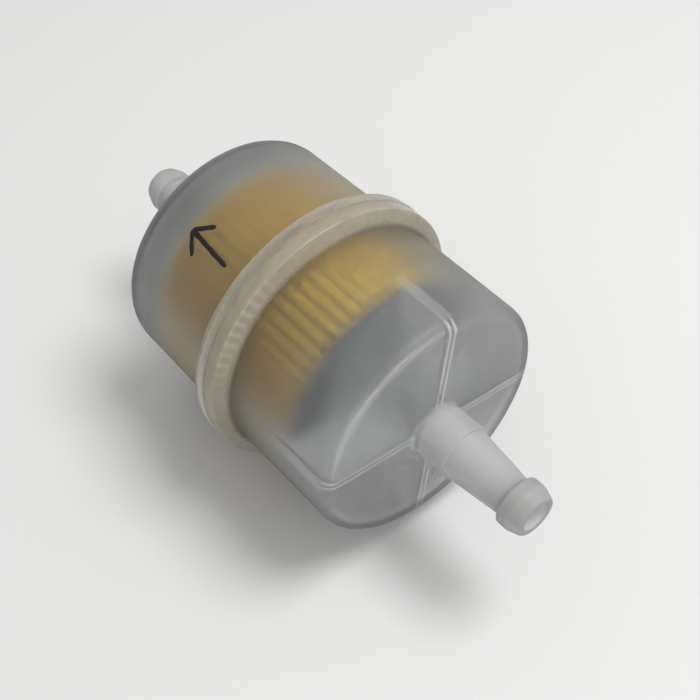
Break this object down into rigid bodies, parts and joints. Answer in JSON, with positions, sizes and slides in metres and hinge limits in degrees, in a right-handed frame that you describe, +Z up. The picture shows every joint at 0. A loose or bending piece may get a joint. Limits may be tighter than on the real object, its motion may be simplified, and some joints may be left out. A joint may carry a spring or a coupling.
{
  "type": "fuel filter",
  "caption": "In-line fuel filter for a small engine: translucent two-half plastic housing with barbed hose nipples round a pleated paper element.",
  "frame": {"origin": "on the filter's axis, in the middle of the weld between the two housing halves, which is the middle of its box", "axes": "+X along the filter's axis, out of the inlet nipple; +Z up"},
  "size_m": [0.0888, 0.045, 0.045],
  "materials": {
    "natural_plastic": "translucent natural moulded plastic, satin",
    "weld_plastic": "whitened, slightly ragged weld flash",
    "filter_paper": "resin-treated yellow ochre filter paper, pleated",
    "adhesive": "amber hot-melt adhesive",
    "disc_plastic": "thin natural plastic disc",
    "core_plastic": "natural moulded plastic",
    "seal_rubber": "black fuel-resistant rubber"
  },
  "bodies": {
    "root": {"inlet_housing": "natural_plastic", "outlet_housing": "natural_plastic", "weld_bead": "weld_plastic", "filter_paper": "filter_paper", "side_seam": "adhesive", "inlet_potting": "adhesive", "outlet_potting": "adhesive", "inlet_end_disc": "disc_plastic", "outlet_end_disc": "disc_plastic", "core_tube": "core_plastic", "outlet_seal": "seal_rubber"}
  },
  "joints": []
}
